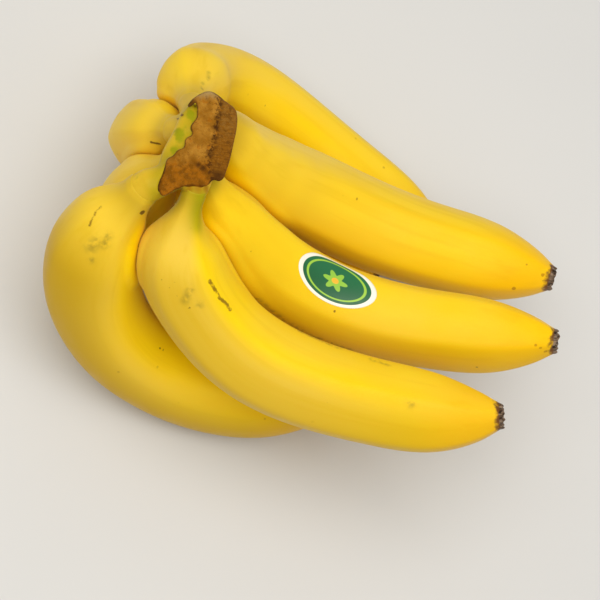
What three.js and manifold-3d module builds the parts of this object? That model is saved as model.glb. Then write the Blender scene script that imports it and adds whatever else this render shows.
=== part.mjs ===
// A bunch of seven ripe bananas on one crown, lying on its outer row of fingers.
// Millimetres, +Z up, the table at Z = 0. The tips point to +X and the crown stands up at -X.
import * as THREE from "three";
import { mergeVertices } from "three/addons/utils/BufferGeometryUtils.js";
import Module from "manifold-3d";

const wasm = await Module();
wasm.setup();

// ---- driving dimensions -------------------------------------------------------------------

// Each finger: where its neck leaves the crown, the direction of the neck and of the tip
// (degrees round from +X, then degrees above the table), length along its middle, thickest
// radius, where the bend begins and ends as shares of the length, and the length of the neck.
const FINGERS = [
  { name: "banana_back", neck: [-58.5, 71, 100.5], start: [78, -47], tip: [-38, 0],
    length: 215, radius: 18.6, bend: [0.05, 0.64], shoulder: 54, rests: true },
  { name: "banana_top_row_back", neck: [-49.5, 59, 115.5], start: [-4, -55], tip: [-19, 24],
    length: 200, radius: 19.4, bend: [0.05, 0.86], shoulder: 56, rests: false },
  { name: "banana_top_row_middle", neck: [-57.5, 39, 113.5], start: [-36, -47], tip: [-8, 28],
    length: 199, radius: 18.7, bend: [0.02, 0.82], shoulder: 56, rests: false },
  { name: "banana_top_row_front", neck: [-61.5, 26.5, 123.5], start: [-94, -52], tip: [-7, 21],
    length: 204, radius: 19.1, bend: [-0.03, 0.66], shoulder: 50, rests: false },
  { name: "banana_front", neck: [-81.5, 27, 118], start: [-140, -61], tip: [-3, 21],
    length: 211, radius: 20.6, bend: [-0.01, 0.91], shoulder: 44, rests: true },
  { name: "banana_bottom_row_back", neck: [-65.5, 58, 106.5], start: [121, -65], tip: [-24, 8],
    length: 199, radius: 17.4, bend: [0.05, 0.65], shoulder: 64, rests: true },
  { name: "banana_bottom_row_middle", neck: [-66, 43, 106], start: [183, -74], tip: [-17, 8],
    length: 202, radius: 18.2, bend: [0.05, 0.6], shoulder: 55, rests: true },
];
const NECK_RADIUS = 5.6;
const NECK_STRAIGHT = 6; // length of neck before it starts to swell
const NECK_FACETING = 0.35; // share of the ridges left on the neck
const TIP_SHARE = 0.31; // radius of the dried flower end as a share of the thickest radius
const TIP_TAPER = 50; // length over which the tip end narrows
const TIP_ROUNDNESS = 2.6;
const EVEN_BEND = 0.35; // share of the bend spread evenly along the finger
const RIDGES = 5;
const RIDGE_DEPTH = 0.03; // how far the flat sides fall inside the ridges, as a share of the radius
const SIDES = 20;
const RINGS = 27;
const CENTRE_STEPS = 260; // steps used to walk along a centre line

const GAP = 0.3; // free space left between pieces that grow together or touch

// The crown's own frame: turned round +Y so that its cut face looks up and towards -X.
const CROWN_PLACE = [-61.7, 43.9, 129.4];
const CROWN_TILT = -17; // degrees
// Outline of the cut block seen square on to the cut face, anticlockwise.
const CROWN_OUTLINE = [
  [4, 23], [-0.5, 21.5], [-1.5, 17], [-2, 7], [-5.5, 2.5], [-8.5, -2], [-14.5, -6], [-17, -14.5],
  [-18, -20.5], [-15.5, -22], [-7, -18], [0, -18], [11, -15.5], [13.3, -3], [15.5, 8.5],
  [15, 15], [9.5, 19.5],
];
const CROWN_MIDDLE = [3, -5];
// Depth below the cut face and size of the outline there, from the back of the block forward.
const CROWN_LEVELS = [
  [-19, 0.72], [-15, 0.9], [-8, 1], [-2, 1], [0, 0.93],
];
// The pad of fused necks behind the block, and its lobe under the front finger.
const PAD = { centre: [-3, 5, -20], radii: [11, 30, 9.5], lean: -23 };
const LOBE = { centre: [-17, -14.5, -9], radii: [10, 8, 7.5], lean: 0 };

// The paper label on the middle finger of the top row.
const LABEL_FINGER = "banana_top_row_middle";
const LABEL_ALONG = 91; // distance of its middle from the start of the neck
const LABEL_TURN = 171; // degrees round the finger from the outside of the bend
const LABEL_HALF_LENGTH = 24; // along the middle of the finger; the inner side of the bend is shorter
const LABEL_HALF_WIDTH = 10.5;
const LABEL_THICKNESS = 0.3;
const LABEL_ROUNDS = 4;
const LABEL_SPOKES = 36;

const COLOURS = { peel: 0xf2c21a, crown: 0x8a5a28, label: 0x1d6b3a };

// ---- helpers ------------------------------------------------------------------------------

const rad = THREE.MathUtils.degToRad;

function heading([round, above]) {
  return new THREE.Vector3(
    Math.cos(rad(round)) * Math.cos(rad(above)),
    Math.sin(rad(round)) * Math.cos(rad(above)),
    Math.sin(rad(above)),
  );
}

// A closed skin through rings of equal numbers of points, with a flat fan over each end.
// Rings run anticlockwise seen against the direction of travel.
function closedLoft(rings) {
  const sides = rings[0].length;
  const positions = rings.flat().flatMap((p) => [p.x, p.y, p.z]);
  const index = [];
  for (let r = 0; r + 1 < rings.length; r++)
    for (let s = 0; s < sides; s++) {
      const a = r * sides + s;
      const b = r * sides + ((s + 1) % sides);
      index.push(a, b, b + sides, a, b + sides, a + sides);
    }
  for (const [ring, first, flip] of [
    [rings[0], 0, true],
    [rings[rings.length - 1], (rings.length - 1) * sides, false],
  ]) {
    const middle = ring.reduce((sum, p) => sum.add(p), new THREE.Vector3()).divideScalar(sides);
    const hub = positions.length / 3;
    positions.push(middle.x, middle.y, middle.z);
    for (let s = 0; s < sides; s++) {
      const a = first + s;
      const b = first + ((s + 1) % sides);
      index.push(...(flip ? [hub, b, a] : [hub, a, b]));
    }
  }
  const geometry = new THREE.BufferGeometry();
  geometry.setAttribute("position", new THREE.Float32BufferAttribute(positions, 3));
  geometry.setIndex(index);
  return geometry;
}

function toManifold(geometry) {
  return new wasm.Manifold(
    new wasm.Mesh({
      numProp: 3,
      vertProperties: new Float32Array(geometry.attributes.position.array),
      triVerts: new Uint32Array(geometry.index.array),
    }),
  );
}

function fromManifold(solid) {
  const mesh = solid.getMesh();
  const positions = [];
  for (let i = 0; i < mesh.numVert; i++)
    positions.push(...mesh.vertProperties.subarray(i * mesh.numProp, i * mesh.numProp + 3));
  const geometry = new THREE.BufferGeometry();
  geometry.setAttribute("position", new THREE.Float32BufferAttribute(positions, 3));
  geometry.setIndex([...mesh.triVerts]);
  return geometry;
}

// ---- fingers ------------------------------------------------------------------------------

// The centre line bends in one plane: its direction turns from `start` to `tip`.
function centreLine(finger) {
  const from = heading(finger.start);
  const to = heading(finger.tip);
  const angle = from.angleTo(to);
  const across = from.clone().cross(to).normalize();
  const [begins, ends] = finger.bend;
  const points = [];
  const place = new THREE.Vector3(...finger.neck);
  const step = finger.length / CENTRE_STEPS;
  for (let i = 0; i <= CENTRE_STEPS; i++) {
    const t = i / CENTRE_STEPS;
    const eased = THREE.MathUtils.smootherstep(t, begins, ends);
    const turned = (1 - EVEN_BEND) * eased + EVEN_BEND * t;
    const along = from.clone().applyAxisAngle(across, turned * angle);
    if (i > 0) place.addScaledVector(along, step);
    points.push({ place: place.clone(), along });
  }
  return { points, across };
}

function radiusAt(finger, distance) {
  const swell = THREE.MathUtils.smoothstep(distance, NECK_STRAIGHT, finger.shoulder);
  const body = NECK_RADIUS + (finger.radius - NECK_RADIUS) * swell;
  const left = THREE.MathUtils.clamp((finger.length - distance) / TIP_TAPER, 0, 1);
  return body * (TIP_SHARE + (1 - TIP_SHARE) * (1 - (1 - left) ** TIP_ROUNDNESS));
}

// Five soft ridges, with one on the inside of the bend. They fade on the neck.
function ridged(finger, distance, turn) {
  const swell = THREE.MathUtils.smoothstep(distance, NECK_STRAIGHT, finger.shoulder);
  const depth = RIDGE_DEPTH * (NECK_FACETING + (1 - NECK_FACETING) * swell);
  return 1 - depth * (1 + Math.cos(RIDGES * turn)) / 2;
}

function skinPoint(finger, line, distance, turn, clearance = 0) {
  const i = Math.round((distance / finger.length) * CENTRE_STEPS);
  const { place, along } = line.points[i];
  const out = along.clone().cross(line.across);
  const reach = radiusAt(finger, distance) * ridged(finger, distance, turn) + clearance;
  return place.clone()
    .addScaledVector(out, reach * Math.cos(turn))
    .addScaledVector(line.across, reach * Math.sin(turn));
}

// Rings stand closer together at the neck and at the tip, where the finger changes fastest.
function fingerGeometry(finger, clearance = 0) {
  const line = centreLine(finger);
  const rings = [];
  for (let r = 0; r < RINGS; r++) {
    const even = r / (RINGS - 1);
    const packed = even - 0.1 * Math.sin(2 * Math.PI * even);
    const distance = packed * finger.length;
    const ring = [];
    for (let s = 0; s < SIDES; s++)
      ring.push(skinPoint(finger, line, distance, (-2 * Math.PI * s) / SIDES, clearance));
    rings.push(ring);
  }
  if (clearance > 0) {
    for (const p of rings[0]) p.addScaledVector(line.points[0].along, -clearance);
  }
  return closedLoft(rings);
}

// The outer row settles on the table: each of its fingers is set at the height where it touches.
for (const finger of FINGERS.filter((f) => f.rests)) {
  const geometry = fingerGeometry(finger);
  geometry.computeBoundingBox();
  finger.neck[2] -= geometry.boundingBox.min.z;
}

// ---- crown --------------------------------------------------------------------------------

function blockGeometry() {
  return closedLoft(
    CROWN_LEVELS.map(([depth, size]) =>
      CROWN_OUTLINE.map(
        ([x, y]) =>
          new THREE.Vector3(
            CROWN_MIDDLE[0] + (x - CROWN_MIDDLE[0]) * size,
            CROWN_MIDDLE[1] + (y - CROWN_MIDDLE[1]) * size,
            depth,
          ),
      ),
    ),
  );
}

function lumpGeometry({ centre, radii, lean }) {
  const ball = new THREE.SphereGeometry(1, 28, 16);
  ball.deleteAttribute("normal");
  ball.deleteAttribute("uv");
  ball.scale(...radii);
  ball.rotateX(rad(lean));
  ball.translate(...centre);
  return mergeVertices(ball, 1e-4);
}

function crownGeometry() {
  const inFrame = new THREE.Matrix4()
    .makeRotationY(rad(CROWN_TILT))
    .setPosition(...CROWN_PLACE);
  const [block, pad, lobe] = [blockGeometry(), lumpGeometry(PAD), lumpGeometry(LOBE)].map(
    (geometry) => toManifold(geometry.applyMatrix4(inFrame)),
  );
  let solid = block.add(pad).add(lobe);
  for (const finger of FINGERS)
    solid = solid.subtract(toManifold(fingerGeometry(finger, GAP)));
  return fromManifold(solid);
}

// ---- label --------------------------------------------------------------------------------

// A thin oval that follows the skin, standing GAP off it.
function labelGeometry() {
  const finger = FINGERS.find((f) => f.name === LABEL_FINGER);
  const line = centreLine(finger);
  const sheet = (lift) => {
    const rounds = [];
    for (let r = 1; r <= LABEL_ROUNDS; r++) {
      const round = [];
      for (let s = 0; s < LABEL_SPOKES; s++) {
        const a = (2 * Math.PI * s) / LABEL_SPOKES;
        const share = r / LABEL_ROUNDS;
        const along = LABEL_ALONG + LABEL_HALF_LENGTH * share * Math.cos(a);
        const turn = rad(LABEL_TURN) + (LABEL_HALF_WIDTH / finger.radius) * share * Math.sin(a);
        round.push(skinPoint(finger, line, along, turn, lift));
      }
      rounds.push(round);
    }
    return rounds;
  };
  const below = sheet(GAP);
  const above = sheet(GAP + LABEL_THICKNESS);
  return closedLoft([...below, ...above.reverse()]);
}

// ---- assembly -----------------------------------------------------------------------------

const group = new THREE.Group();
group.name = "banana_bunch";

function addMesh(name, geometry, colour, roughness) {
  const mesh = new THREE.Mesh(
    geometry,
    new THREE.MeshStandardMaterial({ color: colour, roughness, metalness: 0 }),
  );
  mesh.name = name;
  group.add(mesh);
}

addMesh("crown", crownGeometry(), COLOURS.crown, 0.85);
for (const finger of FINGERS)
  addMesh(finger.name, fingerGeometry(finger), COLOURS.peel, 0.45);
addMesh("label", labelGeometry(), COLOURS.label, 0.35);

// The origin is under the middle of the whole bunch.
const box = new THREE.Box3().setFromObject(group);
const middle = box.getCenter(new THREE.Vector3());
for (const mesh of group.children) mesh.geometry.translate(-middle.x, -middle.y, -box.min.z);

export default group;
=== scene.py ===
# A bunch of seven ripe bananas on one crown, lying on its outer row of fingers.
import math

import bmesh
import bpy
import numpy as np
from mathutils import Matrix, Vector, noise


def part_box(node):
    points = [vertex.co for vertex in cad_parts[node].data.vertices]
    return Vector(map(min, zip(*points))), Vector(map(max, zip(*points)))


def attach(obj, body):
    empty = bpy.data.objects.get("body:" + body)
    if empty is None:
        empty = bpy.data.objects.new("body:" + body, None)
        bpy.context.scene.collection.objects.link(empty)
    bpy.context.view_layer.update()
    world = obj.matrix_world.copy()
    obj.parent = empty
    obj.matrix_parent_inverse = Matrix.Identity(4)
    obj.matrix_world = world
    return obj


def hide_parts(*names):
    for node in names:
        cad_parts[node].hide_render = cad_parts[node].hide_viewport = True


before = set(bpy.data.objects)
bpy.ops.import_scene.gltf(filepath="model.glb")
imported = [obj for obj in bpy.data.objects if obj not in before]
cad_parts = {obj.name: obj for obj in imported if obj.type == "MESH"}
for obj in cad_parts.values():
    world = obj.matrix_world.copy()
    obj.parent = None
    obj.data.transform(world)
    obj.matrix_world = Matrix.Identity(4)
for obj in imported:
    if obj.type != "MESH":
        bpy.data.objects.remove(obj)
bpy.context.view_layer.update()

MM = 0.001

# ---- driving dimensions -------------------------------------------------------------------

# What is special to each finger. Distances are millimetres along it from the start of its neck, and
# turns are degrees round it from the outside of its bend.
#   root: where in the crown its neck comes from, across and up the cut face and out of it, and the
#       radius there, all in millimetres
#   tissue, pale: how far along its neck the crown's tissue and the pale skin reach
#   ridges: the turns of its five ridges
#   ridge_depth: how far its flat sides lie inside its ridges, as a share of its radius
#   painted_sheen, painted_shade: painted sheen and shade, each as how much and the turn of its side
#   shape: how it differs from its imported solid, as a distance, more radius, how far outwards of its
#       bend and how far sideways, in millimetres; what a row leaves out is 0
#   scratch, spot, smudge, green: its marks, each as a half width in millimetres and the points that
#       it passes through, as (distance, turn)
EVEN_RIDGES = (36, 108, 180, 252, 324)
FINGERS = {
    "banana_back": {
        "root": (2, 14, -11, 7.2),
        "tissue": 8, "pale": 18, "ridges": (40, 112, 184, 256, 328), "ridge_depth": 0.042,
        "painted_sheen": (0.4, 300), "painted_shade": (0, 0),
        "shape": (
            (0, 0.6), (12, 1.5), (24, 2.8), (36, 2), (44, -1), (54, -2.2), (75, -0.5), (100, 0.6),
            (130, -0.2), (160, -0.8), (190, -0.5), (215, 0),
        ),
        "smudge": [(1, (22, 268), (17.5, 260)), (0.9, (15, 273), (9, 267))],
    },
    "banana_top_row_back": {
        "root": (2.5, 13, -11, 7.2),
        "tissue": 1.5, "pale": 14, "ridges": (53, 125, 197, 269, 341), "ridge_depth": 0.06,
        "painted_sheen": (0.3, 200), "painted_shade": (0.2, 100),
        "shape": (
            (0, 1), (5, 4, 0, 0.5), (12, 6.6, 0, 1.5), (24, 5.2, 0, 2), (36, 2.5, 0, 2),
            (48, 0.4, 0, 1.6), (60, 0.7, 0, 0.9), (75, 1.3, 0, -0.5), (90, 1.7, 0, -1),
            (110, 1.8, 0, -0.5), (130, 1.3), (160, 0.6), (200, 0),
        ),
        "spot": [(0.5, (189, 180)), (0.9, (186, 125)), (0.8, (197, 168))],
    },
    "banana_top_row_middle": {
        "root": (0, -3, -11, 7.2),
        "tissue": 5, "pale": 12, "ridges": (50, 122, 196, 268, 340), "ridge_depth": 0.07,
        "painted_sheen": (0.15, 170), "painted_shade": (0.5, 75),
        "shape": (
            (0, 1.5, 0, 0.5), (12, 2.7, 0, 1), (24, 3.2, 0, 1), (36, 1.9, 0, 1), (48, 0, 0, 1),
            (60, -0.2, 0, 0.6), (80, 0.2), (110, 0.3), (140, -0.4), (199, 0),
        ),
        "spot": [
            (0.45, (97, 131)), (0.6, (194, 118)), (0.8, (196, 98)), (0.6, (192, 127)),
            (0.3, (40, 128)), (0.5, (167, 78)), (0.4, (98, 72)), (0.4, (104, 72)),
            (0.35, (108, 71)),
        ],
        "smudge": [(1.7, (62, 82), (80, 75), (92, 71), (112, 70))],
    },
    "banana_top_row_front": {
        "root": (-0.5, -10, -10.5, 7.2),
        "tissue": 5, "pale": 30, "ridges": (68, 140, 212, 284, 356), "ridge_depth": 0.062,
        "painted_sheen": (0.9, 50), "painted_shade": (0.6, 60),
        "shape": (
            (0, 0), (14, 0.5, 1), (24, 3.1, 2), (32, 3.2, 2.1), (42, 1.3, 1.2), (54, 0.4, -0.9),
            (75, 0.7, -2.3), (95, 1.1, -1.4), (120, 0.8, -0.2), (150, 0.2, -0.2), (178, 0, -0.9),
            (192, 0, -2.2), (204, 0, -4),
        ),
        "scratch": [(0.8, (40, 138), (47, 140), (52, 140), (56, 143), (61, 144))],
        "spot": [
            (0.3, (35, 75)), (0.3, (38, 84)), (0.35, (42, 91)), (0.35, (49, 100)), (0.3, (36, 92)),
            (0.3, (44, 98)),
        ],
        "smudge": [
            (1.2, (104, 207), (113, 208), (128, 204)), (1.5, (144, 198), (151, 195)),
            (1.8, (41, 110), (45, 99)), (1.6, (50, 114)), (2, (165, 134)),
        ],
        "green": [(3.8, (0, 140), (7, 142), (14, 147))],
    },
    "banana_front": {
        "root": (-5, -8.4, -9.5, 5.4),
        "tissue": 3.5, "pale": 19, "ridges": EVEN_RIDGES, "ridge_depth": 0.038,
        "painted_sheen": (0.55, 50), "painted_shade": (1, 45),
        "shape": (
            (0, 2), (8, 2.6, 0.2), (17, 3.6, 1), (26, 2.4, 1.8), (34, 0.6, 1.5), (42, 0.4, 0.9),
            (56, 1, -0.1), (75, 0.6, -1.4), (92, 0.1, -1.8), (107, 0, -1.2), (122, 0, -0.3),
            (145, 1.2), (165, 1.2), (190, 0), (211, 0),
        ),
        "scratch": [(0.35, (16, 34), (18.3, 37), (20.5, 43), (23.4, 51))],
        "spot": [(1.1, (7.6, 132), (7, 125)), (0.4, (112, 156)), (0.3, (115, 157))],
        "smudge": [(2.6, (24.7, 79), (28.8, 74)), (2, (21.7, 85), (25.2, 88)), (1.6, (33.2, 84))],
    },
    "banana_bottom_row_back": {
        "root": (-1, 10, -11, 7),
        "tissue": 5, "pale": 13, "ridges": (27, 99, 171, 243, 315), "ridge_depth": 0.06,
        "painted_sheen": (0.5, 30), "painted_shade": (0, 0),
        "shape": (
            (0, 1.2), (7, 1.5), (12, 3), (17, 4.7), (24, 4.8), (32, 3.4), (42, 1.6), (52, 0.6),
            (90, 0), (199, 0),
        ),
        "spot": [(0.5, (12.4, 64), (10.8, 72), (8.6, 81))],
    },
    "banana_bottom_row_middle": {
        "root": (-4, -1, -11, 6.4),
        "tissue": 6, "pale": 18, "ridges": EVEN_RIDGES, "ridge_depth": 0.038,
        "painted_sheen": (0.6, 30), "painted_shade": (0, 0),
        "shape": (
            (0, 1), (8, 1.6), (14, 2.8), (20, 3.4), (28, 2.8), (38, 1.2), (52, 0.2), (90, 0),
            (202, 0),
        ),
    },
}
LABEL_FINGER = "banana_top_row_middle"

STATIONS = 300  # rings along a banana
SIDES = 150  # points round a ring
RIDGE_SHARPNESS = 13
UNEVEN = 0.007  # how far a finger swells and thins along its way, as a share of the radius
UNEVEN_WAVES = 5
UNEVEN_PITCH = 90 * MM
READ_EVERY = 3  # the nearest place on a centre line is looked for among every third station

# The dried end of a finger: share of its radius, and millimetres past the end of the body.
DRIED_END = (
    (0.99, 0.5), (0.95, 1.1), (0.88, 1.5), (0.8, 1.3), (0.73, 0.5), (0.64, -0.1), (0.52, -0.3),
    (0.4, -0.1), (0.3, 0.5), (0.2, 0.8), (0.1, 0.9),
)
DRIED_RAGGED = 0.5 * MM
DRIED_WAVES = 6
DRIED_SEED = 100
FAR_FROM_MARKS = 10.0  # millimetres, for skin that no line or spot is near

# Where two fingers come this close they press together.
TOUCHING = 1.2 * MM
NEARBY = 7 * MM
PRESS_FROM = (8 * MM, 22 * MM)  # the necks are not drawn to each other
PRESS_ROUNDS = 4
SKIN_APART = 0.05 * MM

CROWN_VOXEL = 0.45 * MM
CROWN_SMOOTHING = 6
TISSUE_SMOOTHING = 90  # more rounds of smoothing outside the cut block
CURVE_POINTS = 160  # round the cut block
# The crown's tissue runs over the start of each neck, which is thinner inside it.
NECK_START = 0.92
NECK_SHOWN = 0.8  # where the neck has its full width, as a share of the way the tissue runs
TISSUE_START, TISSUE_END = 0.99, 0.9  # width of the tissue, as a share of the neck's
ROOT_RINGS, NECK_RINGS, BANK_RINGS = 8, 12, 24
TISSUE_SIDES = 24
# The bank of tissue along the left edge of the cut block: across, up and depth.
BANK = (
    (-2, 19, -6.2), (-3.8, 13, -6.2), (-6.2, 6.5, -6.4), (-9, 1, -6.8), (-11.4, -4, -7.4),
    (-12.6, -9, -8.4),
)
BANK_RADIUS = 4.9

# The crown's cut block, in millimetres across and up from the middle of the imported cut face.
CUT_OUTLINE = (
    (4.7, 23.9), (2, 23.3), (-0.5, 21.9), (-2.7, 20), (-4.3, 16.8), (-2.6, 17.4), (-1, 18.6),
    (-0.3, 15.5), (-0.8, 11.2), (-2.9, 7.6), (-2.2, 4.6), (-4.9, 2.6), (-5.6, -1.2),
    (-8.2, -2.4), (-9.9, -4.6), (-12.4, -6.2), (-13.2, -9.2), (-14.7, -14.6), (-15.7, -19.6),
    (-14.2, -22.2), (-10.4, -20.7), (-6.6, -18.7), (-4.4, -17.9), (0, -17.6), (5, -17.3),
    (6.8, -15.4), (8.6, -15.9), (10.6, -14.8), (11.6, -12.2), (12.8, -8), (14.4, -0.6),
    (15.9, 7.2), (16.3, 12.4), (15.2, 16.6), (11.2, 19.6), (7.9, 22.4),
)
# Its walls: depth, share of the size, and how far up they are there; it hangs over at its foot.
CUT_LEVELS = ((-13, 0.85, 5), (-6, 0.94, 2.6), (-1.6, 1, 0.5), (-0.3, 0.985, 0), (0.1, 0.95, 0))
# The line between the cut face and the side face that slopes away, from its bottom up.
CUT_DIVIDE = (
    (6.4, -18), (5.6, -13.8), (4.2, -6.9), (5.4, -1.1), (7.2, 5.2), (7.9, 10.8), (8.9, 19.2),
    (8, 24),
)
SIDE_SLOPE, LOBE_SLOPE = 0.28, 0.1  # how steeply it falls right of that line and at its left end
NECK_DROP = 1.6  # how far the face dips toward the neck below it
PIT_DEPTH = 0.7
NUB_HEIGHT = 0.6
ROUGHNESS = 0.35  # height of the uneven face
GROOVE_PITCH, GROOVE_DEPTH = 1.1, 0.07  # fine grooves across the side face
# How deep the bark reaches on the face's side and how much deeper on the right, and how far it goes
# past the outline there.
BARK_DEPTH, SIDE_BARK_DEPTH, SIDE_BARK_OVER = 1.4, 9, 1.6
# Across, up and radius of the pits along that line, of the knob at its foot, and of dark stains.
PITS = (
    (7.6, 13.5, 1), (8.6, 9.6, 0.8), (7, 6.4, 1.1), (6, 2.4, 0.9), (5.2, -3.4, 1.2), (7.4, -1.6, 0.8),
)
NUB = (8.9, -13, 2.6)
STAINS = (
    (8.6, -13.8, 3), (2.6, -10.4, 1.6), (0.6, -9, 1.2), (-2.8, 18.4, 1.9), (7.4, 7.4, 1.1),
    (7.8, 12, 0.9), (6.8, 3, 0.9), (5, -3.6, 1.2),
)
# Green patches in the tissue, thin dark nicks as lines of small spots, and singed skin at its edge.
GREEN_SPOTS = ((-2.9, 13.6, 2.6), (-7.6, 5.2, 3.2), (-9.5, -1.6, 1.8), (3, -21.5, 2.6))
NICKS = (
    (-11.4, 19, 0.6), (-10.6, 18.2, 0.7), (-9.8, 17.4, 0.7), (-9, 16.6, 0.7), (-8.2, 15.8, 0.7),
    (-7.4, 15, 0.8), (-6.6, 14.2, 0.7), (-16, 2, 0.6), (-15, 1.6, 0.6), (-14, 1.5, 0.5),
)
SINGED = ((-3, -18.4, 2), (0.5, -18.2, 2.4), (3.5, -18, 2))
RIGHT_IS_FAR = 9  # the skin right of the block is not greenish: counts as this much farther off
WELD = 0.02 * MM
FLAT = math.radians(0.05)

LABEL_LIFT = 0.08 * MM
LABEL_THICKNESS = 0.12 * MM
LABEL_FULL = 1.04  # its size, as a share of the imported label's
LABEL_ASPECT = 1.4  # length to width
LABEL_ROUNDS = 24
LABEL_SPOKES = 96


# ---- small helpers ------------------------------------------------------------------------

def smoothstep(low, high, x):
    t = np.clip((x - low) / (high - low), 0, 1)
    return t * t * (3 - 2 * t)


def unit(vectors):
    return vectors / np.linalg.norm(vectors, axis=-1, keepdims=True)


def spline(knots, values, at):
    """A natural cubic spline through `values` at `knots`, read at the places `at`."""
    gap = np.diff(knots)
    slope = np.diff(values, axis=0) / gap[:, None]
    system = np.eye(len(knots))
    right = np.zeros_like(values)
    for i in range(1, len(knots) - 1):
        system[i, i - 1:i + 2] = gap[i - 1], 2 * (gap[i - 1] + gap[i]), gap[i]
        right[i] = 6 * (slope[i] - slope[i - 1])
    bend = np.linalg.solve(system, right)
    k = np.clip(np.searchsorted(knots, at) - 1, 0, len(gap) - 1)
    left, rest, width = (at - knots[k])[:, None], (knots[k + 1] - at)[:, None], gap[k][:, None]
    return (
        (bend[k] * rest**3 + bend[k + 1] * left**3) / (6 * width)
        + (values[k] / width - bend[k] * width / 6) * rest
        + (values[k + 1] / width - bend[k + 1] * width / 6) * left
    )


def ripple(seed, count, along, turn, wave):
    """A smooth uneven field on a skin, from -1 to 1: a few waves along it and round it."""
    random = np.random.default_rng(seed)
    total = np.zeros(np.broadcast(along, turn).shape)
    for _ in range(count):
        round_it = random.integers(0, 4)
        phase, speed = random.uniform(0, 2 * math.pi, 2), random.uniform(0.4, 1.3)
        total += np.sin(2 * math.pi * speed * along / wave + phase[0]) * np.cos(
            round_it * turn + phase[1]
        )
    return total / count


def add_object(name, data):
    made = bpy.data.objects.new(name, data)
    bpy.context.scene.collection.objects.link(made)
    return made


def mesh_object(name, points, faces, attributes=None):
    """A smooth-shaded mesh with float or vector attributes on its points."""
    mesh = bpy.data.meshes.new(name)
    mesh.from_pydata(points, [], faces)
    mesh.shade_smooth()
    mesh.update()
    add_attributes(mesh, attributes or {})
    return add_object(name, mesh)


def add_attributes(mesh, attributes):
    for name, values in attributes.items():
        kind, key = ("FLOAT_VECTOR", "vector") if values.ndim == 2 else ("FLOAT", "value")
        layer = mesh.attributes.new(name, kind, "POINT")
        layer.data.foreach_set(key, np.ascontiguousarray(values, np.float32).ravel())


def tube_faces(rows, columns):
    """Quads between rings of points, facing out where rings run anticlockwise seen from the end."""
    row, column = np.meshgrid(np.arange(rows - 1), np.arange(columns), indexing="ij")
    a = row * columns + column
    b = row * columns + (column + 1) % columns
    return np.stack([a, b, b + columns, a + columns], axis=-1).reshape(-1, 4).tolist()


def fan_faces(first, columns, hub, flip):
    ring = [first + c for c in range(columns)]
    after = ring[1:] + ring[:1]
    return [(hub, b, a) if flip else (hub, a, b) for a, b in zip(ring, after)]


def closed_tube(rows):
    """The points and faces of a closed tube through rings of equal numbers of points."""
    sides = len(rows[0])
    points = np.concatenate(rows)
    count = len(points)
    points = np.vstack([points, rows[-1].mean(axis=0), rows[0].mean(axis=0)])
    faces = tube_faces(len(rows), sides)
    faces += fan_faces(count - sides, sides, count, False)
    faces += fan_faces(0, sides, count + 1, True)
    return points, faces


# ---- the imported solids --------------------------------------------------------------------

def welded(node):
    """The node's solid with its points welded and its flat patches each made one face."""
    solid = bmesh.new()
    solid.from_mesh(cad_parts[node].data)
    bmesh.ops.remove_doubles(solid, verts=solid.verts, dist=WELD)
    bmesh.ops.dissolve_limit(solid, angle_limit=FLAT, verts=solid.verts, edges=solid.edges)
    solid.verts.index_update()
    return solid


def rings_from_neck(node):
    """The rings of points that a finger's solid is lofted through, from its neck to its tip."""
    solid = welded(node)
    ends = sorted(solid.faces, key=lambda face: len(face.verts))[-2:]
    low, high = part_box("crown")
    neck = min(ends, key=lambda face: (face.calc_center_median() - (low + high) / 2).length)
    ring = list(neck.verts)
    seen = {v.index for v in ring}
    rings = []
    while len(ring) > 1:
        rings.append(np.array([v.co for v in ring]))
        reached = {
            e.other_vert(v).index: e.other_vert(v) for v in ring for e in v.link_edges
        }
        ring = [reached[i] for i in sorted(reached) if i not in seen]
        seen.update(v.index for v in ring)
    solid.free()
    return rings


# ---- fingers ------------------------------------------------------------------------------

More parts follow.
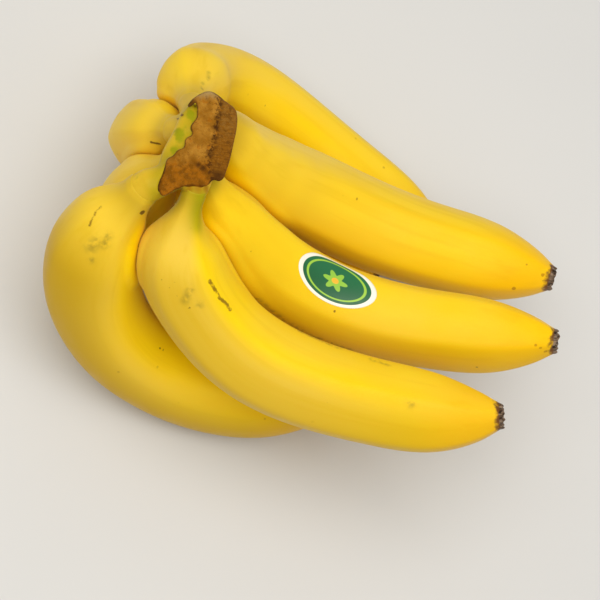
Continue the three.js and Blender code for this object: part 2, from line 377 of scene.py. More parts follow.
class Finger:
    """A banana: its bent centre line, its radius and its ridges."""

    def __init__(self, order, name):
        own = FINGERS[name]
        self.order, self.name = order, name
        self.ridges, self.ridge_depth = np.radians(own["ridges"]), own["ridge_depth"]
        self.tissue = own["tissue"] * MM
        shape = np.array([row + (0,) * (4 - len(row)) for row in own["shape"]]) * MM
        rings = rings_from_neck(name)
        middles = np.array([ring.mean(axis=0) for ring in rings])
        reach = [np.linalg.norm(r - m, axis=1).max() for r, m in zip(rings, middles)]
        steps = np.linalg.norm(np.diff(middles, axis=0), axis=1)
        walked = np.concatenate([[0], np.cumsum(steps)])
        self.length = walked[-1]
        self.at = np.linspace(0, self.length, STATIONS)
        path = spline(walked, np.column_stack([middles, reach]), self.at)
        self.centre = path[:, :3]
        change = spline(shape[:, 0], shape[:, 1:], np.minimum(self.at, shape[-1, 0]))
        self.radius = path[:, 3] + change[:, 0]
        self.along = unit(np.gradient(self.centre, self.at, axis=0))
        self.across = unit(np.cross(self.along[:-1], self.along[1:]).sum(axis=0))
        self.centre += np.cross(self.along, self.across) * change[:, 1:2] + self.across * change[:, 2:]
        self.along = unit(np.gradient(self.centre, self.at, axis=0))
        self.out = unit(np.cross(self.along, self.across))

    def read(self, table, distance):
        """A row of `table`, which has one for each station, at any distance from the neck."""
        return np.stack([np.interp(distance, self.at, c) for c in table.T], axis=-1)

    def reach(self, distance, turn):
        """How far the skin stands from the centre line."""
        full = np.interp(distance, self.at, self.radius)
        shown = smoothstep(0, NECK_SHOWN * self.tissue, distance)
        full = full * (NECK_START + (1 - NECK_START) * shown)
        flat = self.ridge_depth * (1 - five_sided(turn, self.ridges))
        swell = UNEVEN * ripple(self.order, UNEVEN_WAVES, distance, turn, UNEVEN_PITCH)
        return full * (1 - flat + swell)

    def skin(self, distance, turn, lift=0.0):
        """Points on the skin, `distance` from the neck and `turn` round from the outside."""
        centre, out = self.read(self.centre, distance), unit(self.read(self.out, distance))
        reach = (self.reach(distance, turn) + lift)[..., None]
        turn = turn[..., None]
        return centre + reach * (np.cos(turn) * out + np.sin(turn) * self.across)

    def locate(self, points):
        """Distance along, turn and distance from the centre line of points beside a finger."""
        gaps = np.linalg.norm(points[:, None] - self.centre[None, ::READ_EVERY], axis=2)
        nearest = gaps.argmin(axis=1) * READ_EVERY
        ahead = ((points - self.centre[nearest]) * self.along[nearest]).sum(axis=1)
        distance = np.clip(self.at[nearest] + ahead, 0, self.length)
        away = points - self.read(self.centre, distance)
        out = unit(self.read(self.out, distance))
        turn = np.arctan2(away @ self.across, (away * out).sum(axis=1))
        return distance, turn, np.linalg.norm(away, axis=1)

    def clearance(self, points):
        """Free space between points and the skin, less than 0 inside it, and where along."""
        distance, turn, away = self.locate(points)
        return away - self.reach(distance, turn), distance


def five_sided(turn, ridges):
    """The outline of a rounded five-sided section: 1 on its ridges, 0 amid its flat sides."""
    nexts = np.append(ridges[1:], ridges[0] + 2 * math.pi)
    total = 0
    for this, after in zip(ridges, nexts):
        facing, half = (this + after) / 2, (after - this) / 2
        total = total + (np.maximum(np.cos(turn - facing), 0) / math.cos(half)) ** RIDGE_SHARPNESS
    reach = total ** (-1 / RIDGE_SHARPNESS)
    lowest, highest = math.cos(math.pi / 5), 2 ** (-1 / RIDGE_SHARPNESS)
    return (reach - lowest) / (highest - lowest)


def pressed(finger, points, distance, others):
    """Moves skin in or out to meet the neighbours half way where they touch or nearly do."""
    outward = points - finger.read(finger.centre, distance)
    outward = outward / np.linalg.norm(outward, axis=1)[:, None]
    off_neck = smoothstep(*PRESS_FROM, distance)
    swelling, meets = np.zeros(len(points)), {}
    for other in others:
        space, place = other.clearance(points)
        near = 1 - smoothstep(TOUCHING, NEARBY, space)
        share = near * off_neck * smoothstep(*PRESS_FROM, place)
        swelling = np.maximum(swelling, share * (space - SKIN_APART) / 2)
        meets[other] = np.flatnonzero(space < TOUCHING)
    pushed_in = np.zeros(len(points))
    for _ in range(PRESS_ROUNDS):
        step = np.zeros(len(points))
        for other, some in meets.items():
            space, _ = other.clearance(points[some] + outward[some] * pushed_in[some, None])
            step[some] = np.minimum(step[some], (space - pushed_in[some] - SKIN_APART) / 2)
        pushed_in += step
    points = points + outward * (pushed_in + np.where(pushed_in < 0, 0, swelling))[:, None]
    points[:, 2] = np.maximum(points[:, 2], 0)
    return points


def mark_fields(finger, points):
    """Fields on the skin: millimetres to the nearest mark's edge, or how deep in a soft patch."""
    fields = {kind: np.full(len(points), FAR_FROM_MARKS) for kind in ("scratch", "spot")}
    fields |= {kind: np.zeros(len(points)) for kind in ("smudge", "green")}
    marks = [(kind, *mark) for kind in fields for mark in FINGERS[finger.name].get(kind, ())]
    for kind, width, *places in marks:
        places = np.array(places, float)
        steps = np.linspace(0, len(places) - 1, 8 * len(places))
        along = np.interp(steps, range(len(places)), places[:, 0]) * MM
        turn = np.radians(np.interp(steps, range(len(places)), places[:, 1]))
        line = finger.skin(along, turn)
        away = np.linalg.norm(points - line[0], axis=1)
        for a, b in zip(line[:-1], line[1:]):
            way = b - a
            share = np.clip(((points - a) @ way) / max(way @ way, 1e-12), 0, 1)
            away = np.minimum(away, np.linalg.norm(points - a - share[:, None] * way, axis=1))
        if kind in ("scratch", "spot"):
            fields[kind] = np.minimum(fields[kind], away / MM - width)
        else:
            fields[kind] = np.maximum(fields[kind], np.exp(-((away / MM / width) ** 2)))
    return fields


def from_block(points, place, axes):
    """How far left of or below the cut block points lie, seen along its axis, in millimetres."""
    plan = (points - place) @ axes[:2].T / MM
    return RIGHT_IS_FAR * smoothstep(3, 11, plan[:, 0]) - depth_inside(
        plan, closed_curve(CUT_OUTLINE, CURVE_POINTS // 2)
    )


def one_sided(finger, kind, turn, sharpness):
    """A field round a finger, full on one side of it: a painted sheen or a painted shade."""
    amount, facing = FINGERS[finger.name][kind]
    return amount * smoothstep(0, sharpness, np.cos(turn - math.radians(facing)))


def dried_rows(finger, rim, turn):
    """Rings of points over the dried end, from the rim of the body inwards."""
    tip, ahead = finger.centre[-1], finger.along[-1]
    random = np.random.default_rng(DRIED_SEED + finger.order)
    waves = random.uniform(0, 2 * math.pi, DRIED_WAVES)
    rows = []
    for share, forward in DRIED_END:
        ragged = sum(np.sin((3 + 2 * k) * turn + wave + 4 * share) for k, wave in enumerate(waves))
        ragged = ragged / 3 * DRIED_RAGGED * smoothstep(0, 0.3, share)
        rows.append(tip + (rim - tip) * share + ahead * (forward * MM + ragged)[:, None])
    return rows


def skin_fields(finger, points, turn, cut):
    """The fields that the peel is coloured by, for a banana's rings of points and its two hubs."""
    dried = len(DRIED_END)
    along = np.concatenate([finger.at, np.full(dried, finger.length + 0.5 * MM)])
    along = np.append(np.repeat(along, SIDES), [finger.length, 0])
    round_it = np.append(np.tile(turn, STATIONS + dried), [0, 0])
    reach = np.concatenate([finger.radius, np.full(dried, finger.radius[-1])])
    reach = np.append(np.repeat(reach, SIDES), [0, 0])
    sideways = reach * np.cos(round_it), reach * np.sin(round_it)
    share = along / finger.length
    return {
        "unbent": np.column_stack([along + finger.order, *sideways]),
        "from_block": from_block(points, *cut),
        "pale": 1 - smoothstep(0, FINGERS[finger.name]["pale"] * MM, along - 2 * MM),
        # Painted sheen: the skin made paler on one side of the finger, fading out toward the tip.
        "painted_sheen": one_sided(finger, "painted_sheen", round_it, 0.5) * (1 - smoothstep(0.5, 0.95, share)),
        # Painted shade: the skin made darker on one side of the finger, from a little way past its
        # neck.
        "painted_shade": one_sided(finger, "painted_shade", round_it, 1) * smoothstep(0.08, 0.22, share),
        "from_tip": (finger.length - along) / MM,
        "dried": np.append(np.repeat([0.0] * STATIONS + [1.0] * dried, SIDES), [1, 0]),
    } | mark_fields(finger, points)


def banana(finger, others, cut):
    """A banana's body, pressed against the others, and its dried end as one closed mesh."""
    turn = -2 * math.pi * np.arange(SIDES) / SIDES
    distance, turns = np.meshgrid(finger.at, turn, indexing="ij")
    body = finger.skin(distance.ravel(), turns.ravel())
    body = pressed(finger, body, distance.ravel(), others).reshape(STATIONS, SIDES, 3)
    points, faces = closed_tube([*body, *dried_rows(finger, body[-1], turn)])
    points[-2] += finger.along[-1] * MM
    return mesh_object(
        finger.name + "_fruit", points, faces, skin_fields(finger, points, turn, cut)
    )


# ---- crown --------------------------------------------------------------------------------

def cut_face():
    """The middle of the crown's cut face and its axes: across it, up it and out of it."""
    solid = welded("crown")
    face = max(solid.faces, key=lambda f: f.calc_area())
    place, out = np.array(face.calc_center_median()), np.array(face.normal)
    solid.free()
    up = unit(np.array([0.0, 1.0, 0.0]) - out[1] * out)
    return place, np.stack([np.cross(up, out), up, out])


def closed_curve(corners, count):
    """A smooth closed line of `count` points through the corners."""
    corners = np.array(corners, float)
    looped = np.concatenate([corners[-3:], corners, corners[:4]])
    knots = np.concatenate([[0], np.cumsum(np.linalg.norm(np.diff(looped, axis=0), axis=1))])
    at = np.linspace(knots[3], knots[3 + len(corners)], count, endpoint=False)
    return spline(knots, looped, at)


def depth_inside(places, outline):
    """How far inside a closed outline each place is, less than 0 outside it."""
    after = np.roll(outline, -1, axis=0)
    nearest = np.full(len(places), np.inf)
    crossings = np.zeros(len(places), int)
    for a, b in zip(outline, after):
        way = b - a
        share = np.clip((places - a) @ way / (way @ way), 0, 1)
        nearest = np.minimum(nearest, np.linalg.norm(places - a - share[:, None] * way, axis=1))
        spans = (places[:, 1] < a[1]) != (places[:, 1] < b[1])
        rise = b[1] - a[1] if b[1] != a[1] else 1.0
        crossings += spans & (places[:, 0] < a[0] + (places[:, 1] - a[1]) / rise * way[0])
    return np.where(crossings % 2 == 1, nearest, -nearest)


def cut_block(place, axes):
    """The brown block of stalk whose top is the cut face."""
    outline = closed_curve(CUT_OUTLINE, CURVE_POINTS)
    middle = outline.mean(axis=0)
    rows = []
    for depth, size, up in CUT_LEVELS:
        ring = middle + (outline - middle) * size + (0, up)
        rows.append(place + np.column_stack([ring, np.full(len(ring), depth)]) @ axes * MM)
    return closed_tube(rows)


def soft_tube(middles, radii, beside):
    """A closed round tube along a bent line; `beside` is a direction that the line never takes."""
    turn = 2 * math.pi * np.arange(TISSUE_SIDES) / TISSUE_SIDES
    ahead = unit(np.gradient(middles, axis=0))
    side = unit(np.cross(ahead, beside))
    rows = [
        middle + radius * (np.cos(turn)[:, None] * one - np.sin(turn)[:, None] * other)
        for middle, radius, one, other in zip(middles, radii, side, np.cross(side, ahead))
    ]
    return closed_tube(rows)


def neck_root(finger, place, axes):
    """The crown's tissue from under the cut block to a neck and on over the start of it."""
    *spot, width = np.array(FINGERS[finger.name]["root"], float) * MM
    root = place + np.array(spot) @ axes
    start = finger.centre[0]
    inside = np.linspace(0, 1, ROOT_RINGS, endpoint=False)
    distance = np.linspace(0, finger.tissue, NECK_RINGS)
    middles = np.vstack([
        root + inside[:, None] * (start - root), finger.read(finger.centre, distance)
    ])
    share = TISSUE_START + (TISSUE_END - TISSUE_START) * smoothstep(0.2, 1, distance / finger.tissue)
    neck = np.interp(distance, finger.at, finger.radius) * share
    radii = np.concatenate([width + inside * (neck[0] - width), neck])
    return soft_tube(middles, radii, axes[0])


def bank(place, axes):
    """A soft bank of tissue that joins the necks to the left edge of the cut block."""
    middles = place + np.array(BANK, float) @ axes * MM
    at = np.linspace(0, 1, BANK_RINGS)
    line = spline(np.linspace(0, 1, len(BANK)), middles, at)
    round_end = np.sqrt(1 - 0.98 * np.abs(2 * at - 1) ** 6)
    return soft_tube(line, BANK_RADIUS * MM * round_end, axes[0])


def one_skin(name, shapes):
    """Closed shapes that run into each other, made one body with one soft skin."""
    points, faces = [], []
    for more, more_faces in shapes:
        faces += [[len(points) + i for i in f] for f in more_faces]
        points += more.tolist()
    rough = mesh_object(name + "_rough", points, faces)
    remesh = rough.modifiers.new("one_skin", "REMESH")
    remesh.mode = "VOXEL"
    remesh.voxel_size = CROWN_VOXEL
    smooth = rough.modifiers.new("soften", "SMOOTH")
    smooth.iterations = CROWN_SMOOTHING
    graph = bpy.context.evaluated_depsgraph_get()
    mesh = bpy.data.meshes.new_from_object(rough.evaluated_get(graph))
    bpy.data.objects.remove(rough)
    mesh.name = name
    mesh.shade_smooth()
    return mesh


def relaxed(points, edges, amounts, rounds):
    """Points drawn toward the middle of their neighbours, each by its own amount."""
    ends = np.concatenate([edges, edges[:, ::-1]])
    share = 1 / np.bincount(ends[:, 0], minlength=len(points))
    for _ in range(rounds):
        sums = [np.bincount(ends[:, 0], points[ends[:, 1], k], len(points)) for k in range(3)]
        points = points + amounts[:, None] * (np.column_stack(sums) * share[:, None] - points)
    return points


def spots(places, middles):
    """A field with a soft round spot, 1 at its middle, for each (across, up, radius)."""
    total = np.zeros(len(places))
    for across, up, radius in middles:
        away = np.hypot(places[:, 0] - across, places[:, 1] - up)
        total = np.maximum(total, np.exp(-((away / radius) ** 2)))
    return total


def crown_relief(local, beyond, bark):
    """Tilts, hollows and roughens the cut face. All in millimetres."""
    top = smoothstep(-5, -0.5, local[:, 2]) * bark
    drop = SIDE_SLOPE * np.maximum(beyond, 0) + LOBE_SLOPE * np.maximum(-local[:, 0] - 5, 0)
    drop += NECK_DROP * smoothstep(-14, -19.5, local[:, 1]) * spots(local * (1, 0, 0), [(0, 0, 6)])
    drop += PIT_DEPTH * spots(local, PITS) - NUB_HEIGHT * spots(local, [NUB])
    rough = np.array([noise.fractal(Vector(p) * 0.55, 1.0, 2.0, 4) for p in local])
    grooves = np.sin(2 * math.pi * local[:, 1] / GROOVE_PITCH + 3 * rough) * (beyond > 0)
    local[:, 2] -= top * (drop + ROUGHNESS * rough + GROOVE_DEPTH * grooves)
    return local


def read_flat(collection, name, width, kind):
    """One property of all the items of a mesh collection, as rows of `width` numbers."""
    flat = np.zeros(len(collection) * width, kind)
    collection.foreach_get(name, flat)
    return flat.reshape(-1, width)


def bark_limits(local, beyond):
    """Whether places are high enough to have bark, and how far past the outline it goes there."""
    right_of_foot = smoothstep(0, 6, beyond) * smoothstep(-14, -6, local[:, 1])
    deepest = -BARK_DEPTH - SIDE_BARK_DEPTH * right_of_foot
    return smoothstep(deepest - 1, deepest, local[:, 2]), -SIDE_BARK_OVER * smoothstep(0, 5, beyond)


def bark_cover(high, over, inside):
    return smoothstep(over - 0.7, over + 0.3, inside) * high


def crown_fields(local, inside, beyond, over, place, axes):
    """The fields that the crown is coloured by."""
    return {
        "local": local.copy(),
        "rim": inside - over,
        "from_block": from_block(place + local @ axes * MM, place, axes),
        "ripe": smoothstep(5, 11, local[:, 0] + 5 * smoothstep(-12, -17, local[:, 1])),
        "beyond": beyond,
        "stain": spots(local, STAINS),
        "green": spots(local, GREEN_SPOTS),
        "singed": spots(local, SINGED),
        "nick": spots(local, NICKS) * smoothstep(-16, -12, local[:, 2]),
    }


def crown(fingers, place, axes):
    """The cut block, the bank and the root of each neck under one skin, with its relief."""
    shapes = [cut_block(place, axes), bank(place, axes)]
    shapes += [neck_root(finger, place, axes) for finger in fingers]
    mesh = one_skin("crown_stalk", shapes)
    local = (read_flat(mesh.vertices, "co", 3, float) - place) @ axes.T / MM
    edges = read_flat(mesh.edges, "vertices", 2, np.int32)
    outline = closed_curve(CUT_OUTLINE, CURVE_POINTS)
    divide = np.array(CUT_DIVIDE, float)
    beyond = local[:, 0] - np.interp(local[:, 1], divide[:, 1], divide[:, 0])
    high, over = bark_limits(local, beyond)
    bark = bark_cover(high, over, depth_inside(local[:, :2], outline))
    local = relaxed(local, edges, 0.5 * (1 - smoothstep(0, 0.4, bark)), TISSUE_SMOOTHING)
    inside = depth_inside(local[:, :2], outline)
    bark = bark_cover(high, over, inside)
    fields = crown_fields(local, inside, beyond, over, place, axes) | {"bark": bark}
    local = crown_relief(local, beyond, bark)
    mesh.vertices.foreach_set("co", (place + local @ axes * MM).ravel())
    mesh.update()
    add_attributes(mesh, fields)
    return add_object("crown_stalk", mesh)


# ---- label --------------------------------------------------------------------------------

def label(finger):
    """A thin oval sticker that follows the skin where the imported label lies."""
    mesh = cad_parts["label"].data
    corners = np.array([v.co for v in mesh.vertices])
    distance, turn, _ = finger.locate(corners)
    turn = np.mod(turn, 2 * math.pi)
    middle, half_length = (distance.max() + distance.min()) / 2, np.ptp(distance) / 2 * LABEL_FULL
    facing, half_turn = (turn.max() + turn.min()) / 2, np.ptp(turn) / 2 * LABEL_FULL
    around = 2 * math.pi * np.arange(LABEL_SPOKES) / LABEL_SPOKES
    shares = np.linspace(1 / LABEL_ROUNDS, 1, LABEL_ROUNDS)
    sheets, places = [], []
    for lift, order in ((LABEL_LIFT, shares), (LABEL_LIFT + LABEL_THICKNESS, shares[::-1])):
        for share in order:
            along = middle + half_length * share * np.cos(around)
            round_it = facing + half_turn * share * np.sin(around)
            sheets.append(finger.skin(along, round_it, lift))
            places.append(np.column_stack([share * np.cos(around), share * np.sin(around), 0 * around]))
    points, faces = closed_tube(sheets)
    plan = np.vstack([*places, np.zeros((2, 3))])
    return mesh_object("label_sticker", points, faces, {"plan": plan})


# ---- materials ----------------------------------------------------------------------------

# Screen colours: of the peel, the necks, their marks, the tips, the crown, the label and the floor.
COLOURS = {
    # The pale haze colour on the next line is partly random patches and partly painted sheen.
    "ripe": "f6ce08", "ripe_deep": "f0c404", "wax_and_painted_sheen": "e8c44e", "long_streak": "dcb00c",
    # The first colour on the next line is painted shade for one side of the fingers.
    "painted_shade": "c9a012", "green_streak": "aa9c04",
    "neck": "dab42a", "neck_deep": "cea826", "neck_by_block": "b09614", "neck_green": "948e06",
    "speck": "8a5c14", "rubbed": "8c7422", "scratch": "6b4310", "spot": "5b3a10", "singed": "a0740c",
    "nick": "5a2e08",
    "warm_tip": "f2b202", "tip_edge": "6b4420", "dried_dark": "2c1c12", "dried_light": "8a7460",
    "face_dark": "8f5c12", "face_light": "b07a28", "face_warm": "a35f08", "foot_dark": "7c4a06",
    "foot_light": "9a5c0a", "face_top": "a88a54",
    "side_dark": "70420a", "side_light": "8e5a12", "side_grey": "9c7838", "side_blotch": "5a3408",
    "grain": "6a3c08", "fleck_dark": "54340c", "fleck_light": "c29a58", "seam": "46260a",
    "stain": "43240a", "rim": "44260a",
    "field_low": "0f5a2e", "field_high": "14683a", "ring": "9cc83c", "petals": "8fbf3a",
    "flower_middle": "f0b22a", "label_rim": "f3eedc",
    "floor_light": "d4d2ce", "floor_dark": "d0ceca",
}


def colour(name):
    """One of the screen colours as linear red, green, blue and alpha."""
    parts = [int(COLOURS[name][i:i + 2], 16) / 255 for i in (0, 2, 4)]
    return [p / 12.92 if p < 0.04045 else ((p + 0.055) / 1.055) ** 2.4 for p in parts] + [1]


class Paint:
    """A new material and short calls for the nodes used in this script."""

    def __init__(self, name):
        self.material = bpy.data.materials.new(name)
        self.material.use_nodes = True
        self.tree = self.material.node_tree
        self.shader = self.tree.nodes["Principled BSDF"]

    def node(self, kind, inputs=None, **settings):
        made = self.tree.nodes.new(kind)
        for key, value in settings.items():
            setattr(made, key, value)
        for key, value in (inputs or {}).items():
            self.set(made.inputs[key], value)
        return made

    def set(self, socket, value):
        if isinstance(value, bpy.types.NodeSocket):
            self.tree.links.new(value, socket)
        else:
            socket.default_value = value

    def surface(self, name, value):
        self.set(self.shader.inputs[name], value)

    def attribute(self, name, output="Fac"):
        return self.node("ShaderNodeAttribute", attribute_name=name).outputs[output]

    def stretch(self, vector, scale):
        node = self.node("ShaderNodeMapping", {"Vector": vector, "Scale": scale})
        return node.outputs["Vector"]

    def noise(self, vector, scale, detail=3.0, roughness=0.5, distortion=0.0):
        inputs = {"Vector": vector, "Scale": scale, "Detail": detail, "Roughness": roughness,
                  "Distortion": distortion}
        return self.node("ShaderNodeTexNoise", inputs).outputs["Fac"]

    def cells(self, vector, scale):
        inputs = {"Vector": vector, "Scale": scale}
        return self.node("ShaderNodeTexVoronoi", inputs).outputs["Distance"]

    def spread(self, value, low, high, to_low=0.0, to_high=1.0):
        limits = {"From Min": low, "From Max": high, "To Min": to_low, "To Max": to_high}
        inputs = {"Value": value} | limits
        node = self.node("ShaderNodeMapRange", inputs, interpolation_type="SMOOTHSTEP")
        return node.outputs["Result"]

    def math(self, operation, a, b=0.0, clamp=False):
        node = self.node("ShaderNodeMath", {0: a, 1: b}, operation=operation, use_clamp=clamp)
        return node.outputs[0]

    def times(self, a, b):
        return self.math("MULTIPLY", a, b)

    def plus(self, a, b, clamp=False):
        return self.math("ADD", a, b, clamp)

    def mix(self, share, a, b):
        node = self.node("ShaderNodeMix", {"Factor": share}, data_type="RGBA")
        self.set(node.inputs[6], a)
        self.set(node.inputs[7], b)
        return node.outputs[2]

    def over(self, base, name, share, amount=1):
        """The base with one of the screen colours over it."""
        if amount != 1:
            share = self.times(share, amount)
        return self.mix(share, base, colour(name))

    def between(self, name, other, value, low, high):
        """One screen colour where the value is low, another where it is high."""
        return self.mix(self.spread(value, low, high), colour(name), colour(other))

    def uneven(self, field, amount):
        """A noise field made to run round 0."""
        return self.times(self.math("SUBTRACT", field, 0.5), amount)

    def bump(self, height, distance, strength=1.0, normal=None):
        inputs = {"Height": height, "Distance": distance, "Strength": strength}
        node = self.node("ShaderNodeBump", inputs)
        if normal is not None:
            self.set(node.inputs["Normal"], normal)
        return node.outputs["Normal"]


def ripe_skin(p, unbent, cloud, broad, sheen_amount):
    """The yellow of the peel, with random paler patches and a pale sheen painted over it by the given
    share.
    """
    base = p.between("ripe", "ripe_deep", cloud, 0.3, 0.7)
    wax_and_sheen = p.times(p.spread(broad, 0.45, 0.7), 0.35)
    # The given share adds a painted sheen to the random pale patches.
    wax_and_sheen = p.plus(wax_and_sheen, p.times(sheen_amount, p.spread(broad, 0.2, 0.7, 0.7, 1)))
    base = p.over(base, "wax_and_painted_sheen", wax_and_sheen)
    long_streaks = p.spread(p.noise(p.stretch(unbent, (0.03, 1, 1)), 170), 0.5, 0.72)
    return p.over(base, "long_streak", long_streaks, 0.35)


def neck_tissue(p, cloud, outside, green):
    """The dull skin of the necks, darker and greener close to the cut block."""
    tissue = p.between("neck", "neck_deep", cloud, 0.3, 0.7)
    close = p.plus(outside, p.uneven(cloud, 4))
    tissue = p.over(tissue, "neck_by_block", p.spread(close, 8, 1))
    return p.over(tissue, "neck_green", green)


def soft_surface(p, amount):
    """The slight translucency and soft sheen of fresh skin, `amount` from 0 to 1 or a field."""
    shares = {"Subsurface Weight": 0.12, "Sheen Weight": 0.05, "Specular IOR Level": 0.15}
    field = isinstance(amount, bpy.types.NodeSocket)
    for name, share in shares.items():
        p.surface(name, p.times(amount, share) if field else share * amount)
    p.surface("Subsurface Radius", (1.0, 0.55, 0.12))
    p.surface("Subsurface Scale", 3 * MM)
    p.surface("Specular Tint", (1, 0.9, 0.6, 1))
    p.surface("Sheen Roughness", 0.35)
    p.surface("Sheen Tint", (1, 0.97, 0.86, 1))


def peel_marks(p, base, unbent):
    """Specks, soft rubbed patches, scratches and dark spots on the peel."""
    speckle = p.cells(unbent, 130)
    some = p.spread(p.noise(unbent, 60), 0.55, 0.68)
    speck = p.times(p.spread(speckle, 0.12, 0.05), some)
    base = p.over(base, "speck", speck, 0.6)
    rubbed = p.spread(p.noise(unbent, 380, detail=4), 0.32, 0.66)
    rubbed = p.times(p.attribute("smudge"), rubbed)
    base = p.over(base, "rubbed", rubbed, 0.6)
    fine = p.math("SUBTRACT", p.noise(unbent, 650), 0.5)
    scratch = p.plus(p.attribute("scratch"), p.times(fine, 1.6))
    scratch = p.times(p.spread(scratch, 0.35, -0.3), p.spread(p.noise(unbent, 260), 0.3, 0.5))
    base = p.over(base, "scratch", scratch, 0.8)
    spot = p.plus(p.attribute("spot"), p.times(fine, 0.8))
    return p.over(base, "spot", p.spread(spot, 0.3, -0.2), 0.9)


def dried_tip(p, base, unbent):
    """The dried flower end and the brown edge of skin round it."""
    base = p.over(base, "warm_tip", p.spread(p.attribute("from_tip"), 45, 5, 0, 0.5))
    ragged = p.uneven(p.noise(unbent, 350), 5)
    near_tip = p.spread(p.plus(p.attribute("from_tip"), ragged), 2.2, 0.2)
    base = p.over(base, "tip_edge", near_tip)
    dry = p.between("dried_dark", "dried_light", p.noise(unbent, 700), 0.35, 0.65)
    return p.mix(p.attribute("dried"), base, dry)


def peel_material():
    p = Paint("peel")
    unbent = p.attribute("unbent", "Vector")
    cloud = p.noise(p.stretch(unbent, (0.25, 1, 1)), 45)
    broad = p.noise(p.stretch(unbent, (0.5, 1, 1)), 14)
    # The pale sheen on one side of each finger is painted into the colour.
    base = ripe_skin(p, unbent, cloud, broad, p.attribute("painted_sheen"))
    # Painted shade: a darker yellow laid over one side of each finger.
    base = p.over(base, "painted_shade", p.attribute("painted_shade"))
    pale = p.uneven(cloud, 0.5)
    pale = p.plus(p.attribute("pale"), p.times(pale, p.attribute("pale")), True)
    neck = neck_tissue(p, cloud, p.attribute("from_block"), p.attribute("green"))
    base = p.mix(pale, base, neck)
    base = p.over(base, "green_streak", p.attribute("green"), 0.55)
    base = dried_tip(p, peel_marks(p, base, unbent), unbent)
    p.surface("Base Color", base)
    p.surface("Roughness", p.spread(p.noise(unbent, 120), 0.3, 0.7, 0.38, 0.48))
    soft_surface(p, 1.0)
    pores = p.noise(unbent, 1400, detail=2)
    fibres = p.noise(p.stretch(unbent, (0.08, 1, 1)), 700)
    normal = p.bump(pores, 0.00004, 0.5)
    normal = p.bump(fibres, 0.00005, 0.6, normal)
    p.surface("Normal", normal)
    return p.material


def cut_face_colour(p, local, grain, broad, height):
    """The brown cut face: warmer and darker low down, mottled, greyer at its top."""
    warm = p.noise(local, 0.3, detail=3)
    face = p.between("face_dark", "face_light", broad, 0.35, 0.65)
    face = p.over(face, "face_warm", p.spread(warm, 0.55, 0.7), 0.7)
    low = p.spread(p.plus(height, p.times(broad, 8)), 1, -8)
    face = p.mix(low, face, p.between("foot_dark", "foot_light", warm, 0.4, 0.6))
    top = p.spread(p.plus(height, p.times(grain, 5)), 21.5, 26)
    return p.over(face, "face_top", top)


def side_face_colour(p, local, grain, height):
    """The face that slopes away to the right: streaked across, greyer high up."""
    stripes = p.noise(p.stretch(local, (0.12, 1.5, 0.2)), 1.6, detail=4)
    side = p.between("side_dark", "side_light", stripes, 0.3, 0.7)
    grey = p.times(p.spread(height, -2, 12), p.spread(grain, 0.4, 0.6))
    side = p.over(side, "side_grey", grey, 0.35)
    blotch = p.spread(p.noise(local, 0.42, detail=4, roughness=0.6), 0.52, 0.62)
    return p.over(side, "side_blotch", blotch, 0.6)


def wood_colour(p, local, grain, fine):
    """The cut block: its two faces, the dark seam between them, stains, specks and rim."""
    broad = p.noise(local, 0.16, detail=3)
    height = p.node("ShaderNodeSeparateXYZ", {"Vector": local}).outputs["Y"]
    rough = p.uneven(grain, 4)
    edge = p.plus(p.attribute("beyond"), rough)
    face = cut_face_colour(p, local, grain, broad, height)
    wood = p.mix(p.spread(edge, -0.8, 1.2), face, side_face_colour(p, local, grain, height))
    wood = p.over(wood, "grain", p.spread(grain, 0.52, 0.66), 0.5)
    wood = p.over(wood, "fleck_dark", p.spread(fine, 0.54, 0.7), 0.4)
    wood = p.over(wood, "fleck_light", p.spread(fine, 0.44, 0.3), 0.35)
    seam = p.math("ABSOLUTE", p.math("SUBTRACT", edge, 0.6))
    seam = p.times(p.spread(seam, 2.2, 0.3), p.spread(grain, 0.46, 0.56))
    wood = p.over(wood, "seam", seam, 0.8)
    wood = p.over(wood, "stain", p.attribute("stain"), 0.85)
    rim = p.plus(p.attribute("rim"), p.times(rough, 0.5))
    rim = p.times(p.spread(rim, 0.8, 0.0), p.spread(broad, 0.3, 0.6, 0.35, 0.85))
    return p.over(wood, "rim", rim)


def crown_material():
    p = Paint("crown")
    local = p.attribute("local", "Vector")
    grain = p.noise(local, 0.7, detail=6, roughness=0.65)
    fine = p.noise(local, 3.2, detail=4, roughness=0.7)
    streaks = p.noise(p.stretch(local, (1, 1, 0.2)), 0.12, detail=3)
    patchy = p.uneven(p.noise(local, 0.35, detail=3), 1.6)
    green = p.spread(p.plus(p.attribute("green"), patchy), 0.15, 0.8)
    tissue = neck_tissue(p, streaks, p.attribute("from_block"), green)
    # The ripe skin here has an even pale sheen painted over it.
    ripe = ripe_skin(p, p.stretch(local, (MM, MM, MM)), streaks, streaks, 0.3)
    tissue = p.mix(p.times(p.attribute("ripe"), 0.85), tissue, ripe)
    tissue = p.over(tissue, "singed", p.attribute("singed"))
    nick = p.spread(p.plus(p.attribute("nick"), p.times(grain, 0.3)), 0.45, 0.8)
    tissue = p.over(tissue, "nick", nick, 0.85)
    ragged = p.uneven(grain, 0.5)
    bark = p.spread(p.plus(p.attribute("bark"), ragged), 0.35, 0.65)
    base = p.mix(bark, tissue, wood_colour(p, local, grain, fine))
    p.surface("Base Color", base)
    p.surface("Roughness", p.spread(bark, 0, 1, 0.43, 0.82))
    soft_surface(p, p.spread(bark, 0, 1, 1, 0.5))
    height = p.plus(grain, p.times(fine, 0.5))
    height = p.times(height, p.spread(bark, 0, 1, 0.03, 1))
    p.surface("Normal", p.bump(height, 0.0006, 0.8))
    return p.material


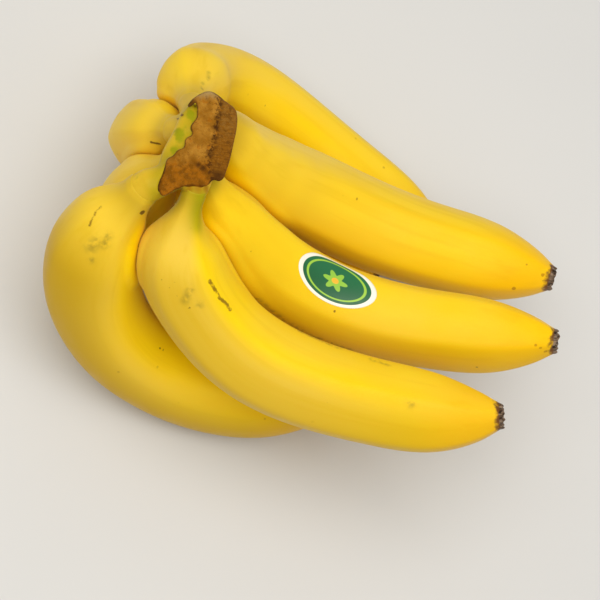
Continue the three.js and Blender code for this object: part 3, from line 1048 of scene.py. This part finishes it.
def label_material():
    """A cream rim round a green field with a ring and a six-petalled flower."""
    p = Paint("label")
    plan = p.attribute("plan", "Vector")
    parts = p.node("ShaderNodeSeparateXYZ", {"Vector": p.stretch(plan, (LABEL_ASPECT, 1, 1))})
    across, up = parts.outputs["X"], parts.outputs["Y"]
    edge = p.node("ShaderNodeVectorMath", {0: plan}, operation="LENGTH").outputs["Value"]
    out = p.math("SQRT", p.plus(p.math("POWER", across, 2.0), p.math("POWER", up, 2.0)))
    round_it = p.math("ARCTAN2", up, across)
    petals = p.times(p.math("COSINE", p.times(round_it, 6.0)), 0.1)
    flower = p.math("SUBTRACT", out, p.plus(petals, 0.34))
    field = p.between("field_low", "field_high", up, -0.6, 0.6)
    ring = p.times(p.spread(edge, 0.7, 0.72), p.spread(edge, 0.78, 0.76))
    base = p.over(field, "ring", ring)
    base = p.over(base, "petals", p.spread(flower, 0.015, -0.015))
    base = p.over(base, "flower_middle", p.spread(out, 0.135, 0.115))
    base = p.over(base, "label_rim", p.spread(edge, 0.87, 0.885))
    p.surface("Base Color", base)
    p.surface("Roughness", p.spread(p.noise(plan, 6), 0.3, 0.7, 0.34, 0.44))
    return p.material


def floor_material():
    p = Paint("floor")
    place = p.node("ShaderNodeTexCoord").outputs["Object"]
    base = p.between("floor_light", "floor_dark", p.noise(place, 3), 0.3, 0.7)
    p.surface("Base Color", base)
    p.surface("Roughness", 0.7)
    return p.material


# ---- stage --------------------------------------------------------------------------------

# The photograph's camera, as fitted to its outlines: what it looks at, from which side, how high, how
# far and how much it is turned, and its focal length and width in pixels.
AIM = Vector((-3.4, -28.8, 68.4)) * MM
AZIMUTH, ELEVATION, ROLL = math.radians(-43.41), math.radians(66), math.radians(46)
DISTANCE = 0.9
FOCAL_PIXELS, PHOTO_PIXELS = 2045.45, 600
SENSOR = 36
FLOOR_HALF = 3


def add_camera():
    data = bpy.data.cameras.new("camera")
    data.sensor_width = SENSOR
    data.lens = FOCAL_PIXELS / PHOTO_PIXELS * SENSOR
    data.clip_start = 0.05
    camera = add_object("camera", data)
    leaned = Matrix.Rotation(math.pi / 2 - ELEVATION, 4, "X") @ Matrix.Rotation(ROLL, 4, "Z")
    turned = Matrix.Rotation(AZIMUTH, 4, "Z") @ leaned
    camera.matrix_world = Matrix.Translation(AIM) @ turned @ Matrix.Translation((0, 0, DISTANCE))
    bpy.context.scene.camera = camera


def add_area_light(name, toward, away, size, power, tint):
    """A square soft light, `away` metres from the bunch in the direction `toward`."""
    data = bpy.data.lights.new(name, "AREA")
    data.size = size
    data.energy = power
    data.color = tint
    light = add_object(name, data)
    direction = Vector(toward).normalized()
    light.location = AIM + direction * away
    light.rotation_euler = direction.to_track_quat("Z", "Y").to_euler()


def add_world(strength):
    world = bpy.data.worlds.new("world")
    world.use_nodes = True
    background = world.node_tree.nodes["Background"]
    background.inputs["Color"].default_value = (1, 1, 1, 1)
    background.inputs["Strength"].default_value = strength
    bpy.context.scene.world = world


def add_floor():
    signs = ((-1, -1), (1, -1), (1, 1), (-1, 1))
    corners = [(x * FLOOR_HALF, y * FLOOR_HALF, 0) for x, y in signs]
    floor = mesh_object("floor", corners, [(0, 1, 2, 3)])
    floor.data.materials.append(floor_material())


def finish_piece(piece, node, material):
    piece.data.materials.append(material)
    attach(piece, "root")
    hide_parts(node)


def build():
    fingers = [Finger(order, name) for order, name in enumerate(FINGERS)]
    cut = cut_face()
    peel = peel_material()
    for finger in fingers:
        others = [other for other in fingers if other is not finger]
        finish_piece(banana(finger, others, cut), finger.name, peel)
    finish_piece(crown(fingers, *cut), "crown", crown_material())
    labelled = next(finger for finger in fingers if finger.name == LABEL_FINGER)
    finish_piece(label(labelled), "label", label_material())


build()
add_floor()
add_camera()
add_world(strength=0.55)
add_area_light(
    "key", toward=(-0.14, -0.1, 0.98), away=1.3, size=1.2, power=15, tint=(1, 0.99, 0.96)
)
bpy.context.scene.view_settings.view_transform = "Standard"
